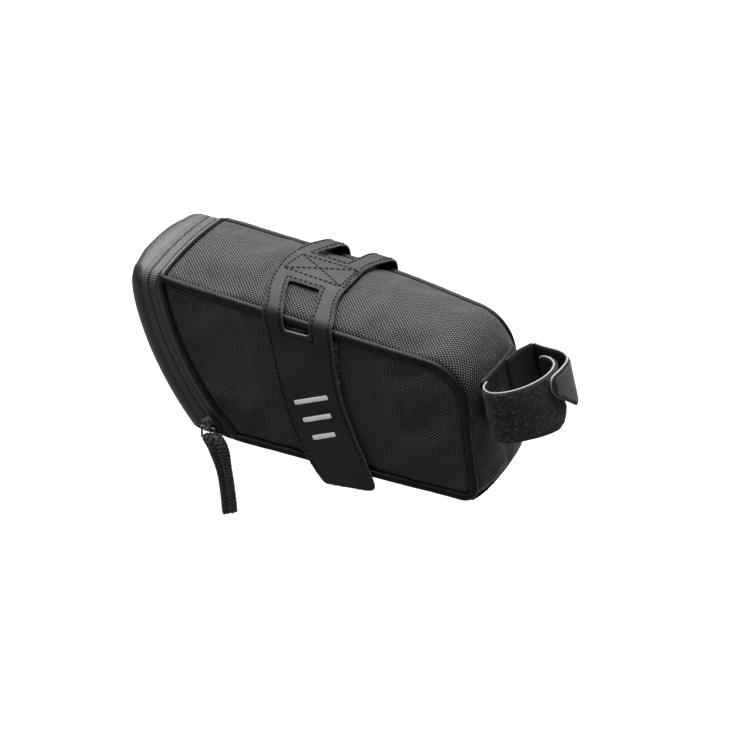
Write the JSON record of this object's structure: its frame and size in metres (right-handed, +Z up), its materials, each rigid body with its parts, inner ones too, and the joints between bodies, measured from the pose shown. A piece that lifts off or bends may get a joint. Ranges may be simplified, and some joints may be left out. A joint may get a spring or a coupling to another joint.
{
  "type": "saddle bag",
  "caption": "Wedge-shaped woven saddle bag with a curved zipped rear flap, a winged strap for the saddle rails and a hook-and-loop seatpost strap.",
  "frame": {"origin": "underside of the rail strap's sewn pad, on top of the bag on its centre plane, where the saddle rails lie", "axes": "+X forward to the seatpost, +Y to the rider's left, +Z up towards the saddle"},
  "size_m": [0.215, 0.0743, 0.1237],
  "materials": {
    "woven_nylon": "coarse basket weave, slight sheen",
    "base_fabric": "coated tarpaulin",
    "board": "foam board",
    "piping": "smooth coated piping",
    "cord_core": "extruded cord",
    "zip_tape": "satin coated zip tape",
    "zip_coil": "nylon coil",
    "metal": "dark nickel",
    "webbing": "woven webbing",
    "mesh": "open mesh",
    "binding": "elastic binding",
    "braid": "flat braided cord",
    "coated_strap": "matt grained coating",
    "hook": "hook tape",
    "pile": "brushed loop pile",
    "reflective": "retro-reflective film"
  },
  "bodies": {
    "bag": {"right_side_panel": "woven_nylon", "left_side_panel": "woven_nylon", "right_side_board": "board", "left_side_board": "board", "top_front_panel": "woven_nylon", "base_panel": "base_fabric", "base_board": "board", "right_piping_sleeve": "piping", "left_piping_sleeve": "piping", "right_piping_core": "cord_core", "left_piping_core": "cord_core", "body_zip_tape": "zip_tape", "body_zip_coil": "zip_coil", "zip_end_stops": "metal", "mesh_pocket": "mesh", "mesh_pocket_binding": "binding", "rail_strap_pad": "coated_strap", "right_side_loop": "pile", "left_side_loop": "pile", "seatpost_anchor": "coated_strap", "seatpost_tongue": "coated_strap"},
    "flap": {"flap_zip_tape": "zip_tape", "flap_zip_coil": "zip_coil", "rear_panel": "woven_nylon", "rear_board": "board", "flap_base_strip": "base_fabric", "rear_light_loop": "webbing"},
    "slider": {"zip_slider": "metal"},
    "pull_ring": {"zip_pull_ring": "metal"},
    "pull_cord": {"zip_pull_cord": "braid"},
    "right_wing": {"right_wing_upper": "coated_strap"},
    "left_wing": {"left_wing_upper": "coated_strap"},
    "right_tail": {"right_wing_tail": "coated_strap", "right_wing_hook": "hook", "right_reflective_bars": "reflective"},
    "left_tail": {"left_wing_tail": "coated_strap", "left_wing_hook": "hook", "left_reflective_bars": "reflective"},
    "hook_arm": {"seatpost_hook_arm": "coated_strap", "seatpost_hook_patch": "hook"},
    "loop_arm": {"seatpost_loop_arm": "coated_strap", "seatpost_loop_pile": "pile"}
  },
  "joints": [
    {"name": "flap_fold", "type": "hinge", "parent": "bag", "child": "flap", "pos_m": [-0.0368, 0, -0.081], "axis": [0, -1, 0], "range_deg": [0, 110]},
    {"name": "slider_travel", "type": "hinge", "parent": "bag", "child": "slider", "pos_m": [0.06371, 0, 0.01667], "axis": [0, 1, 0], "range_deg": [0, 26]},
    {"name": "pull_ring_swing", "type": "hinge", "parent": "slider", "child": "pull_ring", "pos_m": [-0.04244, -0.0366, -0.07479], "axis": [-1, 0, 0], "range_deg": [0, 80]},
    {"name": "pull_cord_sway", "type": "hinge", "parent": "pull_ring", "child": "pull_cord", "pos_m": [-0.04244, -0.0366, -0.08079], "axis": [0, 1, 0], "range_deg": [-35, 35]},
    {"name": "right_wing_lift", "type": "hinge", "parent": "bag", "child": "right_wing", "pos_m": [0.0001, -0.00997, 0.00147], "axis": [-0.9977, 0, 0.068], "range_deg": [0, 75]},
    {"name": "right_wing_bend", "type": "hinge", "parent": "right_wing", "child": "right_tail", "pos_m": [-0.00007, -0.02917, -0.001], "axis": [-0.9977, 0, 0.068], "range_deg": [0, 80]},
    {"name": "left_wing_lift", "type": "hinge", "parent": "bag", "child": "left_wing", "pos_m": [0.0001, 0.00997, 0.00147], "axis": [0.9977, 0, -0.068], "range_deg": [0, 75]},
    {"name": "left_wing_bend", "type": "hinge", "parent": "left_wing", "child": "left_tail", "pos_m": [-0.00007, 0.02917, -0.001], "axis": [0.9977, 0, -0.068], "range_deg": [0, 80]},
    {"name": "hook_arm_open", "type": "hinge", "parent": "bag", "child": "hook_arm", "pos_m": [0.10323, 0.02341, -0.0327], "axis": [-0.2419, 0, 0.9703], "range_deg": [0, 120]},
    {"name": "loop_arm_spring", "type": "hinge", "parent": "bag", "child": "loop_arm", "pos_m": [0.09653, -0.01817, -0.03437], "axis": [0.2419, 0, -0.9703], "range_deg": [0, 54]}
  ],
  "couplings": [
    {"joint": "loop_arm_spring", "follows": "hook_arm_open", "ratio": 0.45}
  ]
}
